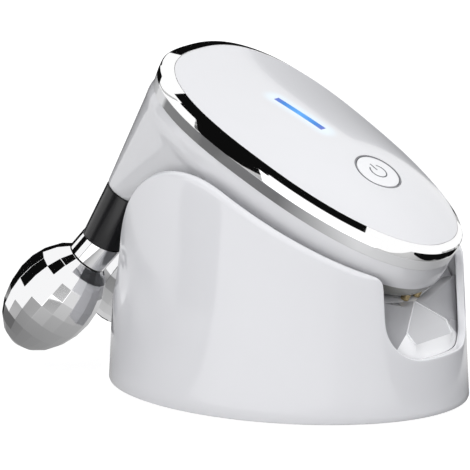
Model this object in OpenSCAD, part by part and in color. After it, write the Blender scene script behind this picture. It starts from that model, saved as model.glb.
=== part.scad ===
// Cordless facial toning device with two faceted rollers, resting in its charging base.
// Origin: centre of the base's bottom. +X points to the handset's tail, +Z up. The rollers hang at -X.

/* [Handset face] */
// Length of the face from its centre to the tail seam
face_tail = 61; // [54:0.5:68]
// Length of the face from its centre to the head seam
face_head = 61; // [54:0.5:68]
// Half width of the face at its centre
face_half_w = 35.5; // [32:0.5:38]
// Widening of the outline towards the head
face_egg = 0.11; // [0:0.01:0.16]
// Tilt of the face from level, in degrees
face_tilt = 28.4; // [24:0.2:32]
// Distance of the face centre from the base centre
face_x = 14; // [10:0.5:18]
// Height of the face centre above the table
face_z = 91.2; // [86:0.5:98]
// Rise of the domed cover at the face centre
dome_h = 6; // [4:0.2:8]
// Wall of the domed cover
cover_wall = 1.8; // [1.4:0.1:2.2]

/* [Bezel ring] */
// Width of the ring at the sides and the tail
ring_w = 2.9; // [2.2:0.1:3.6]
// Extra width of the ring at the head
ring_flare = 2; // [0:0.1:3]
// Drop of the ring's upper bevel
ring_bevel = 1; // [0.6:0.1:1.6]
// Drop of the ring from the seam to its lower bevel
ring_band = 5.1; // [4:0.1:6]
// Whole height of the ring
ring_h = 9.6; // [8.6:0.1:11]

/* [Lower housing] */
// Depth of the hull below the seam
hull_depth = 26; // [24:0.5:29]
// Wall of the hull and necks
hull_wall = 2.2; // [1.8:0.1:2.6]

/* [Necks] */
// Distance of the necks' ends from the face centre, along the face
neck_x = 53.3; // [51:0.1:55]
// Half the distance between the necks' ends
neck_y = 17; // [15:0.5:20]
// Depth of the white necks' ends below the seam
neck_end = 55.6; // [52:0.2:60]
// Radius of the necks and the collars
neck_r = 8.1; // [7.6:0.1:8.6]
// Length of the dark collars
collar_len = 21.4; // [18:0.2:24]
// Outward lean of the collars, in degrees
collar_splay = 4.3; // [2:0.1:6]

/* [Rollers] */
// Largest radius of a roller
ball_r = 16.3; // [15:0.1:18]
// Length of a roller from its widest ring to its tip
ball_tip = 24; // [20:0.5:26]
// Length of a roller from its widest ring to its mouth
ball_back = 19.2; // [17:0.2:21]
// Radius of a roller's mouth and of the chrome neck sleeve
mouth_r = 7.7; // [7.2:0.1:8.2]
// Length of the chrome neck sleeve
sleeve_len = 9; // [7:0.2:11]
// Facets round a roller
facets = 20; // [16:1:28]
// Rows of facets from mouth to tip
facet_rows = 10; // [8:1:12]
// Lean of a roller's axis towards the head, in degrees
ball_lean = 10.1; // [6:0.2:14]
// Outward lean of a roller's axis, in degrees
ball_splay = 11.1; // [8:0.2:14]
// Radius of the steel axles
axle_r = 2.5; // [2:0.1:3]
// Running gap between an axle and its bushes
running_gap = 0.03; // [0.02:0.01:0.08]

/* [Button and light] */
// Distance of the power button from the face centre
button_x = 25.2; // [22:0.2:30]
// Radius of the power button
button_r = 8.4; // [7:0.1:9]
// Travel of the power button
button_travel = 0.6; // [0.4:0.1:0.8]
// Distance of the light bar's centre from the face centre, towards the head
bar_x = 12.9; // [11:0.1:15]
// Length of the light bar
bar_len = 22.4; // [18:0.2:26]
// Width of the light bar
bar_w = 3; // [2:0.1:4]

/* [Charging base] */
// Half length of the base at the table
base_a = 69.8; // [66:0.2:74]
// Half width of the base at the table
base_b = 54.8; // [50:0.2:60]
// Inward slope of the wall for each millimetre of height
base_taper = 0.048; // [0.03:0.002:0.06]
// Wall of the base
base_wall = 3; // [2.4:0.1:3.6]
// Gap between the ring and the base's rim, square to the face
rim_gap = 3.2; // [2:0.2:5]
// Radius of the rim's shoulder over the head opening
shoulder_r = 37.6; // [34:0.2:40]
// Distance of the shoulder's centre from the base centre, towards the head
shoulder_x = 13.5; // [11:0.5:16]
// Height of the wall under the rollers' necks
head_wall_h = 28; // [24:0.5:32]
// Half width of the finger scoop
scoop_half_w = 25.3; // [22:0.1:28]
// Height of the finger scoop's edge above the table
scoop_z = 21.5; // [18:0.5:26]
// Corner radius of the finger scoop
scoop_r = 14; // [10:0.5:18]
// Thickness of the anti-slip pad
pad_t = 1; // [0.8:0.1:1.6]
// Radius of the power inlet's mouth
inlet_r = 2.8; // [2.4:0.1:3.2]

/* [Hidden] */

$fn = 48;
left = 1;
right = -1;
around = 60;      // points round an oval
eps = 0.01;
fit = 0.3;        // clearance between separate pieces
seat = 0.1;       // clearance of pieces fixed to one another
big = 300;

// ---- Outline of the face: a rounded egg, widest towards the head ----
round_tail = 2.3;
round_head = 2.6;
function sgn_pow(v, e) = sign(v) * pow(abs(v), e);
function oval(tail, head, half_w, round_t = round_tail, round_h = round_head) =
    [for (i = [0:around - 1])
        let (t = 360 * i / around, c = cos(t), s = sin(t),
             e = 2 / (c > 0 ? round_t : round_h),
             x = (c > 0 ? tail : head) * sgn_pow(c, e))
        [x, half_w * sgn_pow(s, e) * (1 - face_egg * x / face_tail)]];
function face_oval(grow = 0, head_grow = 0, shrink = 1) =
    oval((face_tail + grow) * shrink, (face_head + grow + head_grow) * shrink,
         (face_half_w + grow) * shrink);
function at_z(outline, z) = [for (p = outline) [p[0], p[1], z]];

// Stacks rings of points, lowest first, into a closed solid.
module loft(rings) {
    n = len(rings[0]);
    last = len(rings) - 1;
    points = [for (ring = rings) each ring];
    sides = [for (k = [0:last - 1], i = [0:n - 1])
        let (j = (i + 1) % n) [k * n + i, (k + 1) * n + i, (k + 1) * n + j, k * n + j]];
    base_face = [for (i = [0:n - 1]) i];
    top_face = [for (i = [n - 1:-1:0]) last * n + i];
    polyhedron(points, concat(sides, [base_face, top_face]), convexity = 8);
}

module handset_frame() translate([face_x, 0, face_z]) rotate([0, face_tilt, 0]) children();

// ---- The dome over the face ----
dome_skew = 0.66;     // how far its crown leans to the tail
dome_rings = 9;
rim_drop = 3;         // depth of the cover's rim below the seam
function dome_z(share, x) = dome_h * (1 - share * share) * (1 + dome_skew * x / face_tail);
function dome_ring(share, grow, lower) =
    [for (p = face_oval(grow, 0, share)) [p[0], p[1], dome_z(share, p[0]) - lower]];
module dome(grow, lower, floor_z)
    loft(concat([at_z(face_oval(grow), floor_z)],
                [for (k = [0:dome_rings]) dome_ring(1 - 0.97 * k / dome_rings, grow, lower)]));

// ---- Levels under the cover ----
pcb_t = 1.2;
pcb_top = -4.4;
frame_t = 2;
frame_top = pcb_top - pcb_t;
frame_bottom = frame_top - frame_t;
pad_foam_t = 0.8;
battery_t = 6;
battery_l = 44;
battery_w = 28;
battery_top = frame_bottom - pad_foam_t;
gasket_t = 0.6;
housing_top = -rim_drop - gasket_t;
screw_r = 1;
screw_head_r = 2;
screw_head_t = 1.2;
boss_r = 2.6;
screw_x = [-38, 40];
screw_y = 17;
switch_w = 6;
switch_t = 3.2;
chip_w = 3;
chip_t = 0.9;
pipe_bottom = pcb_top + chip_t + 0.2;
flange_t = 1;

module screw_places() for (x = screw_x, s = [left, right]) translate([x, s * screw_y, 0]) children();

// ---- Necks and rollers ----
contact_x = face_tail - 2.5;
contact_y = 3.55;
contact_r = 1.6;
function neck_foot(s) = [-neck_x, s * (neck_y + collar_len * sin(collar_splay)),
                         -neck_end - collar_len * cos(collar_splay)];
module collar_frame(s) handset_frame() translate([-neck_x, s * neck_y, -neck_end])
    rotate([s * collar_splay, 0, 0]) children();
// +Z runs from the collar's foot to the roller's tip.
module roller_frame(s) handset_frame() translate(neck_foot(s))
    rotate([s * ball_splay, 0, 0]) rotate([0, ball_lean, 0]) rotate([180, 0, 0]) children();

mouth_z = sleeve_len + 0.4;
wide_z = mouth_z + ball_back;
tip_z = wide_z + ball_tip;
axle_up = 16;
tab_len = 3.6;
bush_r = 4;
bush_len = 4;
hub_r = 6.4;
hub_start = mouth_z + 0.8;
hub_end = wide_z + 15;
bush_near = hub_start + 1.5;
bush_far = hub_end - 10;
clip_t = 0.8;
clip_z = bush_far + bush_len + 0.2;
axle_end = clip_z + clip_t + 2;
clip_r = 3.9;
clip_space_r = 4.8;

// ---- Charging base ----
shell_bottom = 0.4;
deck_top = -hull_depth - fit;
deck_t = 2.4;
deck_head = 20;
cover_t = 2.5;
cover_z = shell_bottom + 0.6;
ledge_t = 2;
ledge_w = 2.5;
leg_r = 4;
legs = [[base_a - 31.8, base_b - 30.8], [-6, base_b - 20.8]];
pad_inset = 22;       // from the base's edge to the anti-slip pad
board_x = -10;
board_l = 44;
board_w = 30;
board_t = 1.6;
post_r = 2.4;
post_h = 3;
post_in = 4;          // from the board's edge to its posts
pin_r = 0.9;
scoop_back = face_tail - 6;    // just behind the charge contacts
scoop_wall = 1.6;
inlet_x = 18;
inlet_z = 12;

function base_oval(z, inset = 0) =
    [for (i = [0:around - 1]) let (t = 360 * i / around)
        [(base_a - base_taper * z - inset) * cos(t), (base_b - base_taper * z - inset) * sin(t), z]];
module base_body(inset, z0, z1) loft([base_oval(z0, inset), base_oval(z1, inset)]);

// ======== Handset ========
module top_cover() color("white") handset_frame() {
    difference() {
        dome(-seat, 0, -rim_drop);
        dome(-cover_wall, cover_wall, -rim_drop - 1);
        translate([button_x, 0, -big / 2]) cylinder(r = button_r + 0.9, h = big);
        translate([-bar_x - bar_len / 2, -bar_w / 2, -rim_drop - 1]) cube([bar_len, bar_w, 20]);
    }
    difference() {
        intersection() {
            screw_places() translate([0, 0, pcb_top]) cylinder(r = boss_r, h = 20);
            dome(-cover_wall / 2, cover_wall / 2, -20);
        }
        screw_places() translate([0, 0, pcb_top - 1]) cylinder(r = screw_r, h = 4.5);
    }
}

module chrome_ring() color("silver") handset_frame() difference() {
    loft([at_z(face_oval(ring_w - 0.4, ring_flare), -ring_h),
          at_z(face_oval(ring_w, ring_flare), -ring_band),
          at_z(face_oval(ring_w, ring_flare), -ring_bevel),
          at_z(face_oval(0.5), 0)]);
    loft([at_z(face_oval(0), -ring_h - 1), at_z(face_oval(0), 1)]);
}

// Hull sections: [depth, growth at the tail, growth at the head, growth at the sides]
function hull_levels(t) = [
    [hull_depth - t, -6 - t, -8 - t, -9 - t],
    [hull_depth - 1 - t, -3 - t, -2 - t, -5.5 - t],
    [hull_depth - 2.6 - t * 0.9, -0.7 - t, 2 - t, -2.2 - t],
    [hull_depth - 5.4 - t * 0.6, 1 - t, 4 - t, 0.6 - t],
    [hull_depth - 9.4 - t * 0.3, 2.2 - t, 5 - t, 2.2 - t],
    [hull_depth - 13, 2.4 - t, 5 - t, 2.4 - t],
    [ring_h + t, 1.9 - t, 4.2 - t, 1.9 - t]];
module hull_bowl(t)
    loft([for (l = hull_levels(t))
        at_z(oval(face_tail + l[1], face_head + l[2], face_half_w + l[3]), -l[0])]);

// Each neck grows out of the hull's side in one sweep and narrows to its collar
root_tail = 12;
root_corner = 34;
root_gap = 3;
function neck_root(l, s, t) = concat(
    [for (p = oval(face_tail + l[1], face_head + l[2], face_half_w + l[3]))
        if (p[0] < -root_tail - t && s * p[1] > root_gap + t) [p[0], p[1]]],
    [[-root_corner - t, s * (root_gap + t)]]);
module neck(s, t) hull() {
    translate([0, 0, -hull_levels(t)[5][0]]) linear_extrude(0.5) polygon(neck_root(hull_levels(t)[5], s, t));
    translate([-neck_x, s * neck_y, -neck_end]) rotate([s * collar_splay, 0, 0])
        cylinder(r = neck_r - t, h = 3, $fn = 32);
}

spigot_r = neck_r - hull_wall - seat;
spigot_h = 7;
module lower_housing() color("whitesmoke") handset_frame() difference() {
    union() {
        hull_bowl(0);
        neck(left, 0);
        neck(right, 0);
        loft([at_z(face_oval(-fit), -ring_h - 1), at_z(face_oval(-fit), housing_top)]);
    }
    hull_bowl(hull_wall);
    loft([at_z(face_oval(-fit - hull_wall), -ring_h - hull_wall - 1), at_z(face_oval(-fit - hull_wall), 1)]);
    for (s = [left, right]) {
        neck(s, hull_wall + 2.4);
        translate([-neck_x, s * neck_y, -neck_end]) rotate([s * collar_splay, 0, 0])
            translate([0, 0, -3]) cylinder(r = spigot_r + seat, h = spigot_h + 3 + fit);
        translate([contact_x, s * contact_y, -hull_depth - 1])
            cylinder(r = contact_r + seat, h = hull_wall + 6);
    }
}

module seal_gasket() color("gray") handset_frame() difference() {
    loft([at_z(face_oval(-fit - 0.2), housing_top), at_z(face_oval(-fit - 0.2), -rim_drop)]);
    loft([at_z(face_oval(-cover_wall), housing_top - 1), at_z(face_oval(-cover_wall), 1)]);
}

module button_cap() color("white") handset_frame() {
    intersection() {
        translate([button_x, 0, 2.2]) cylinder(r = button_r, h = 20);
        dome(-seat, 0, -rim_drop);
    }
    translate([button_x, 0, pcb_top + switch_t + 0.1]) cylinder(r = 2, h = 2.3 - pcb_top - switch_t);
}

module button_ring() color("silver") handset_frame() difference() {
    intersection() {
        translate([button_x, 0, -eps]) cylinder(r = button_r + 0.8, h = 20);
        dome(-seat, 0, -rim_drop);
    }
    translate([button_x, 0, -1]) cylinder(r = button_r + 0.25, h = 20);
}

module tact_switch() color("dimgray") handset_frame() translate([button_x, 0, pcb_top]) {
    translate([-switch_w / 2, -switch_w / 2, 0]) cube([switch_w, switch_w, switch_t - button_travel - 0.3]);
    cylinder(r = 1.6, h = switch_t - button_travel);
}

module light_bar() color("deepskyblue") handset_frame() {
    intersection() {
        translate([-bar_x - bar_len / 2 + seat, -bar_w / 2 + seat, pipe_bottom])
            cube([bar_len - 2 * seat, bar_w - 2 * seat, 20]);
        dome(-seat, 0, -rim_drop - 3);
    }
}

module led_chips() color("ivory") handset_frame()
    for (k = [-1:1]) translate([-bar_x + k * bar_len / 3 - chip_w / 2, -chip_w / 2, pcb_top])
        cube([chip_w, chip_w, chip_t]);

module main_pcb() color("green") handset_frame() difference() {
    translate([0, 0, pcb_top - pcb_t]) linear_extrude(pcb_t) polygon(face_oval(-hull_wall - 4));
    screw_places() translate([0, 0, pcb_top - pcb_t - 1]) cylinder(r = screw_r + 0.2, h = pcb_t + 2);
}

module inner_frame() color("lightgray") handset_frame() difference() {
    translate([0, 0, frame_bottom]) linear_extrude(frame_t) polygon(face_oval(-hull_wall - fit - 0.3));
    screw_places() translate([0, 0, frame_bottom - 1]) cylinder(r = screw_r + 0.2, h = frame_t + 2);
    translate([-48, -12, frame_bottom - 1]) cube([6, 24, frame_t + 2]);
}

module battery_pad() color("dimgray") handset_frame()
    translate([-battery_l / 2, -battery_w / 2, battery_top]) cube([battery_l, battery_w, pad_foam_t]);

module battery() color("silver") handset_frame()
    translate([-battery_l / 2, -battery_w / 2, battery_top - battery_t])
        cube([battery_l, battery_w, battery_t]);

module housing_screws() color("silver") handset_frame() screw_places() {
    translate([0, 0, frame_bottom - screw_head_t]) cylinder(r = screw_head_r, h = screw_head_t);
    translate([0, 0, frame_bottom]) cylinder(r = screw_r - 0.05, h = frame_t + pcb_t + 3);
}

module charge_contacts() color("gold") handset_frame() for (s = [left, right])
    translate([contact_x, s * contact_y, -hull_depth]) cylinder(r = contact_r, h = hull_wall + 4);

// ======== Collars, axles and rollers, one set a side ========
module neck_collar(s) color("black") difference() {
    collar_frame(s) {
        translate([0, 0, -collar_len]) cylinder(r1 = neck_r - 0.5, r2 = neck_r, h = collar_len);
        cylinder(r = spigot_r, h = spigot_h);
    }
    roller_frame(s) translate([0, 0, -axle_up - tab_len - 0.4]) cylinder(r = axle_r + 0.02, h = axle_up + 12);
    collar_frame(s) translate([0, 0, -collar_len + axle_up - 2]) cylinder(r = spigot_r - 1.2, h = 30);
}

module neck_sleeve(s) color("silver") difference() {
    roller_frame(s) difference() {
        translate([0, 0, -3]) cylinder(r = mouth_r, h = sleeve_len + 3);
        translate([0, 0, -8]) cylinder(r = axle_r + 0.02, h = sleeve_len + 20);
    }
    collar_frame(s) translate([-big / 2, -big / 2, -collar_len]) cube([big, big, big]);
}

module roller_axle(s) color("silver") roller_frame(s) difference() {
    translate([0, 0, -axle_up]) cylinder(r = axle_r, h = axle_up + axle_end);
    translate([0, 0, clip_z]) difference() {
        cylinder(r = axle_r + 1, h = clip_t);
        cylinder(r = axle_r - 0.5, h = clip_t);
    }
}

module axle_terminal(s) color("gold") roller_frame(s) difference() {
    union() {
        translate([0, 0, -axle_up - 0.6]) cylinder(r = axle_r - 0.3, h = 0.6);
        translate([-0.8, -0.3, -axle_up - tab_len]) cube([1.6, 0.6, tab_len - 0.6]);
    }
    translate([0, 0, -axle_up - tab_len + 1]) rotate([90, 0, 0]) cylinder(r = 0.4, h = 4, center = true);
}

// Rings of facets: an egg, blunt at the mouth and long to the tip.
back_semi = ball_back / sqrt(1 - pow(mouth_r / ball_r, 2));
mouth_angle = -asin(ball_back / back_semi);
last_angle = 78;
function facet_ring(a) =
    let (r = ball_r * cos(a), z = wide_z + (a < 0 ? back_semi : ball_tip) * sin(a))
    [for (i = [0:facets - 1]) let (t = 360 * i / facets) [r * cos(t), r * sin(t), z]];
module roller_ball(s) color("silver") roller_frame(s) difference() {
    loft(concat([for (k = [0:facet_rows - 1])
                    facet_ring(mouth_angle + (last_angle - mouth_angle) * k / (facet_rows - 1))],
                [[for (i = [0:facets - 1]) let (t = 360 * i / facets) [cos(t), sin(t), tip_z]]]));
    translate([0, 0, mouth_z - 1]) cylinder(r = hub_r + seat, h = hub_end - mouth_z + 1 + seat);
}

module roller_hub(s) color("dimgray") roller_frame(s) difference() {
    translate([0, 0, hub_start]) cylinder(r = hub_r, h = hub_end - hub_start);
    translate([0, 0, hub_start - 1]) cylinder(r = bush_r + 0.03, h = bush_far + bush_len - hub_start + 1);
    translate([0, 0, clip_z - 0.2]) cylinder(r = clip_space_r, h = hub_end - clip_z - 1.5);
}

module roller_bushes(s) color("goldenrod") roller_frame(s)
    for (z = [bush_near, bush_far]) translate([0, 0, z]) difference() {
        cylinder(r = bush_r, h = bush_len);
        translate([0, 0, -1]) cylinder(r = axle_r + running_gap, h = bush_len + 2);
    }

module axle_clip(s) color("dimgray") roller_frame(s) translate([0, 0, clip_z + 0.05]) difference() {
    cylinder(r = clip_r, h = clip_t - 0.1);
    translate([0, 0, -1]) cylinder(r = axle_r - 0.45, h = clip_t + 2);
    translate([0, -1.2, -1]) cube([10, 2.4, clip_t + 2]);
}

// ======== Charging base ========
// Side view of the space above the rim: a shoulder arc over the head, a slope over the tail.
rim_level = -(ring_h + rim_gap);
rim_x0 = face_x + rim_level * sin(face_tilt);
rim_z0 = face_z + rim_level * cos(face_tilt);
function rim_height(x) = rim_z0 - (x - rim_x0) * tan(face_tilt);
arc_mid = [-shoulder_x, rim_height(-shoulder_x) - shoulder_r / cos(face_tilt)];
arc_steps = 14;
arc_from = 90 - face_tilt;
arc_to = 180;
foot_x = arc_mid[0] - shoulder_r;
rim_profile = concat(
    [[big, rim_height(big)]],
    [for (k = [0:arc_steps]) let (a = arc_from + (arc_to - arc_from) * k / arc_steps)
        arc_mid + shoulder_r * [cos(a), sin(a)]],
    [[foot_x - 3, head_wall_h + 11], [foot_x - 7, head_wall_h + 5],
     [foot_x - 13, head_wall_h + 1], [foot_x - 20, head_wall_h], [-big, head_wall_h],
     [-big, big], [big, big]]);
module above_rim() translate([0, big / 2, 0]) rotate([90, 0, 0]) linear_extrude(big) polygon(rim_profile);

// End view of the finger scoop: upright sides and a rounded floor.
scoop_steps = 8;
module scoop_shape(grow) {
    w = scoop_half_w + grow;
    z0 = scoop_z - grow;
    r = scoop_r + grow;
    polygon(concat(
        [for (k = [0:scoop_steps]) let (a = -90 * k / scoop_steps)
            [w - r + r * cos(a), z0 + r + r * sin(a)]],
        [for (k = [0:scoop_steps]) let (a = -90 - 90 * k / scoop_steps)
            [-w + r + r * cos(a), z0 + r + r * sin(a)]],
        [[-w, big], [w, big]]));
}
module scoop_bar(grow, x0, x1) translate([x0, 0, 0]) rotate([90, 0, 90])
    linear_extrude(x1 - x0) scoop_shape(grow);

module base_shell() color("gainsboro") difference() {
    base_body(0, shell_bottom, 110);
    base_body(base_wall, cover_z + cover_t + ledge_t, 111);
    base_body(base_wall + ledge_w, shell_bottom + 0.2, 60);
    base_body(base_wall, shell_bottom - 1, cover_z + cover_t + 0.05);
    above_rim();
    scoop_bar(0, 30, 100);
    translate([inlet_x, base_b - 12, inlet_z]) rotate([-90, 0, 0]) cylinder(r = inlet_r + 2.4 + seat, h = 30);
}

module cradle_tray() color("gainsboro") {
    difference() {
        intersection() {
            base_body(base_wall + fit, 10, 110);
            handset_frame() translate([-big / 2, -big / 2, deck_top - deck_t]) cube([big, big, deck_t]);
        }
        handset_frame() translate([-big - deck_head, -big / 2, deck_top - 10]) cube([big, big, 20]);
        translate([scoop_back + scoop_wall, -scoop_half_w, 0]) cube([big, 2 * scoop_half_w, big]);
        above_rim();
        handset_frame() for (s = [left, right]) translate([contact_x, s * contact_y, deck_top - 10])
            cylinder(r = pin_r + 0.15, h = 20);
    }
    // Finger scoop: a lined pocket behind the tail opening
    difference() {
        intersection() {
            base_body(base_wall + fit, 10, 110);
            scoop_bar(-fit, scoop_back, 100);
            handset_frame() translate([-big / 2, -big / 2, deck_top - big]) cube([big, big, big]);
        }
        scoop_bar(-fit - scoop_wall, scoop_back + scoop_wall, 101);
        above_rim();
    }
    for (place = legs, s = [left, right]) difference() {
        translate([place[0], s * place[1], cover_z + cover_t]) cylinder(r = leg_r, h = 100);
        handset_frame() translate([-big / 2, -big / 2, deck_top - 1]) cube([big, big, big]);
        translate([place[0], s * place[1], cover_z]) cylinder(r = 1.2, h = 14);
    }
}

module bottom_cover() color("gainsboro") {
    difference() {
        base_body(base_wall + fit, cover_z, cover_z + cover_t);
        for (place = legs, s = [left, right]) translate([place[0], s * place[1], 0]) {
            cylinder(r = 1.7, h = 20);
            cylinder(r = 3.2, h = cover_z + 1.2);
        }
    }
    for (e = [left, right], s = [left, right])
        translate([board_x + e * (board_l / 2 - post_in - 2), s * (board_w / 2 - post_in), cover_z + cover_t])
            cylinder(r = post_r, h = post_h);
}

module anti_slip_pad() color("dimgray")
    linear_extrude(pad_t) polygon([for (p = base_oval(0, pad_inset)) [p[0], p[1]]]);

module base_pcb() color("green")
    translate([board_x - board_l / 2, -board_w / 2, cover_z + cover_t + post_h]) cube([board_l, board_w, board_t]);

module charge_pin(s) color("gold") handset_frame() translate([contact_x, s * contact_y, 0]) {
    translate([0, 0, deck_top - deck_t - 4]) cylinder(r = pin_r, h = deck_t + 4 + fit - 0.05);
    translate([0, 0, deck_top - deck_t - 4]) cylinder(r = 1.5, h = 2.6);
}

module power_inlet() color("black") translate([inlet_x, 0, inlet_z]) rotate([-90, 0, 0]) difference() {
    translate([0, 0, base_b - 16]) cylinder(r = inlet_r + 2.4, h = 13);
    translate([0, 0, base_b - 13]) cylinder(r = inlet_r, h = 20);
}

module base_screws() color("silver") for (place = legs, s = [left, right])
    translate([place[0], s * place[1], 0]) {
        translate([0, 0, cover_z]) cylinder(r = 2.8, h = 1.2);
        translate([0, 0, cover_z + 1.2]) cylinder(r = 1.15, h = 10);
    }

top_cover();
chrome_ring();
lower_housing();
seal_gasket();
button_cap();
button_ring();
tact_switch();
light_bar();
led_chips();
main_pcb();
inner_frame();
battery();
battery_pad();
housing_screws();
charge_contacts();
neck_collar(left);  // collar_left
neck_collar(right);  // collar_right
neck_sleeve(left);  // neck_sleeve_left
neck_sleeve(right);  // neck_sleeve_right
roller_axle(left);  // roller_axle_left
roller_axle(right);  // roller_axle_right
axle_terminal(left);  // axle_terminal_left
axle_terminal(right);  // axle_terminal_right
roller_ball(left);  // roller_ball_left
roller_ball(right);  // roller_ball_right
roller_hub(left);  // roller_hub_left
roller_hub(right);  // roller_hub_right
roller_bushes(left);  // roller_bushes_left
roller_bushes(right);  // roller_bushes_right
axle_clip(left);  // axle_clip_left
axle_clip(right);  // axle_clip_right
base_shell();
cradle_tray();
bottom_cover();
anti_slip_pad();
base_pcb();
charge_pin(left);  // charge_pin_left
charge_pin(right);  // charge_pin_right
power_inlet();
base_screws();
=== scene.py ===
"""Facial toning handset with two faceted rollers, lying in its slanted charging base."""
import math

import bmesh
import bpy
import numpy as np
from mathutils import Matrix, Vector


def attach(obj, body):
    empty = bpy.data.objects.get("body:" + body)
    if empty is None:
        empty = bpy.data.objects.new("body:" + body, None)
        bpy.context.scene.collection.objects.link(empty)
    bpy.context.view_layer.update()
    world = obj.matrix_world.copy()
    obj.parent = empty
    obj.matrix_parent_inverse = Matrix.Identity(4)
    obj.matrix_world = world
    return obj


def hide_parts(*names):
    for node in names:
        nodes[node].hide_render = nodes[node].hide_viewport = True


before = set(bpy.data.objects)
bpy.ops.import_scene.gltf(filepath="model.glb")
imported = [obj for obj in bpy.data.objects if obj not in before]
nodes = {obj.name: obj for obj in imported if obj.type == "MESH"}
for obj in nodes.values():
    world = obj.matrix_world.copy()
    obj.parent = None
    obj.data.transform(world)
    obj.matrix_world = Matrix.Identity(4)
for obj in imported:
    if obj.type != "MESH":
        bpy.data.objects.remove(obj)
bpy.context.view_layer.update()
MM = 0.001

# ---- Camera: a long lens, a little above the table ----
CAMERA_AZIMUTH = math.radians(35.31)
CAMERA_ELEVATION = math.radians(12.67)
CAMERA_DISTANCE = 3.0
CAMERA_TARGET = Vector((-0.02361, 0, 0.05318))
FRAME_PIXELS = 470
FOCAL_PIXELS = 8277.6
SENSOR_WIDTH = 36

towards_camera = Vector((math.sin(CAMERA_AZIMUTH) * math.cos(CAMERA_ELEVATION),
                         -math.cos(CAMERA_AZIMUTH) * math.cos(CAMERA_ELEVATION),
                         math.sin(CAMERA_ELEVATION)))


def with_traits(thing, **traits):
    for trait, setting in traits.items():
        setattr(thing, trait, setting)
    return thing


def in_scene(name, data):
    made = bpy.data.objects.new(name, data)
    bpy.context.scene.collection.objects.link(made)
    return made


lens = with_traits(bpy.data.cameras.new("camera"), sensor_width=SENSOR_WIDTH, clip_end=100,
                   lens=FOCAL_PIXELS * SENSOR_WIDTH / FRAME_PIXELS)
camera = with_traits(in_scene("camera", lens), location=CAMERA_TARGET + towards_camera * CAMERA_DISTANCE,
                     rotation_euler=(-towards_camera).to_track_quat("-Z", "Y").to_euler())
bpy.context.scene.camera = camera
bpy.context.scene.view_settings.view_transform = "Standard"

# ---- Studio: a white room and floor, soft lamps, and black and white cards that only mirrors see ----
WHITE = (1, 1, 1, 1)
ROOM_LIGHT = 0.63
ROOM_TINT = (0.96, 0.97, 1.0, 1)
FLOOR_GLOW = 0.90
FLOOR_SIZE = 12
FLOOR_ROUGHNESS = 0.06
FLOOR_IOR = 1.14
PATCH_TONES = (0.14, 0.75)
PATCH_SCALE = 9
PATCH_SPREAD = (0.32, 0.68)
FLOOR_PAINT = (0.25, 0.25, 0.255, 1)
STUDIO_AIM = Vector((0, 0, 0.06))
ON_THE_FLOOR = 0.0005
OVERHEAD = 1.06


def blank_nodes(owner):
    owner.use_nodes = True
    owner.node_tree.nodes.clear()
    return owner.node_tree.nodes


def put(node, values):
    """Sets a node's inputs by name or number, or links them where the value is a socket."""
    for key, setting in values.items():
        if isinstance(setting, bpy.types.NodeSocket):
            node.id_data.links.new(setting, node.inputs[key])
        else:
            node.inputs[key].default_value = setting


def add(n, kind, values=(), **traits):
    """A new node with these inputs and other traits."""
    made = with_traits(n.new(kind), **traits)
    put(made, dict(values))
    return made


def maths(n, operation, *terms):
    """The result of a Math node, fed with sockets or plain numbers."""
    return add(n, "ShaderNodeMath", dict(enumerate(terms)), operation=operation).outputs[0]


def ranged(n, value, from_min, from_max, to_min=0.0, to_max=1.0, **traits):
    """A value carried over from one range to another."""
    return add(n, "ShaderNodeMapRange", {"Value": value, "From Min": from_min, "From Max": from_max, "To Min": to_min,
                                         "To Max": to_max}, **traits).outputs["Result"]


def put_out(n, shader, kind="ShaderNodeOutputMaterial"):
    add(n, kind, {"Surface": shader.outputs[0]})


room = bpy.data.worlds.new("room")
bpy.context.scene.world = room
n = blank_nodes(room)
rays = n.new("ShaderNodeLightPath").outputs
looked_at = maths(n, "MAXIMUM", rays["Is Camera Ray"], rays["Is Glossy Ray"])
given = add(n, "ShaderNodeBackground", {"Color": ROOM_TINT, "Strength": ROOM_LIGHT})
seen = add(n, "ShaderNodeBackground", {"Color": WHITE, "Strength": 1.0})
room_mix = add(n, "ShaderNodeMixShader", {"Fac": looked_at, 1: given.outputs[0], 2: seen.outputs[0]})
put_out(n, room_mix, "ShaderNodeOutputWorld")


def oblong(width, height):
    return [Vector((x * width / 2, y * height / 2, 0)) for x, y in ((-1, -1), (1, -1), (1, 1), (-1, 1))]


def card(name, corners, material):
    """A flat card of the studio."""
    mesh = bpy.data.meshes.new(name)
    mesh.from_pydata(corners, [], [tuple(range(len(corners)))])
    mesh.materials.append(material)
    made = in_scene(name, mesh)
    return made


floor_paint = bpy.data.materials.new("floor_paint")
n = blank_nodes(floor_paint)
rays = n.new("ShaderNodeLightPath").outputs
place = n.new("ShaderNodeTexCoord").outputs["Object"]
glow = maths(n, "MULTIPLY", rays["Is Camera Ray"], FLOOR_GLOW)
paint = add(n, "ShaderNodeBsdfPrincipled", {"Base Color": FLOOR_PAINT, "Roughness": FLOOR_ROUGHNESS, "IOR": FLOOR_IOR,
                                            "Emission Color": WHITE, "Emission Strength": glow})
patches = add(n, "ShaderNodeTexNoise", {"Vector": place, "Scale": PATCH_SCALE, "Detail": 0})
tone = ranged(n, patches.outputs["Fac"], *PATCH_SPREAD, *PATCH_TONES)
mirrored = add(n, "ShaderNodeEmission", {"Strength": tone})
put_out(n, add(n, "ShaderNodeMixShader", {"Fac": rays["Is Glossy Ray"], 1: paint.outputs[0], 2: mirrored.outputs[0]}))
card("floor", oblong(FLOOR_SIZE, FLOOR_SIZE), floor_paint)


def soft_lamp(name, place, size, watts):
    """A lamp that shines on the object and that mirrors don't see."""
    lamp = with_traits(bpy.data.lights.new(name, "AREA"), size=size, energy=watts)
    way = Vector(place) - STUDIO_AIM
    with_traits(in_scene(name, lamp), location=place, visible_glossy=False,
                rotation_euler=way.to_track_quat("Z", "Y").to_euler())


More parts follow.
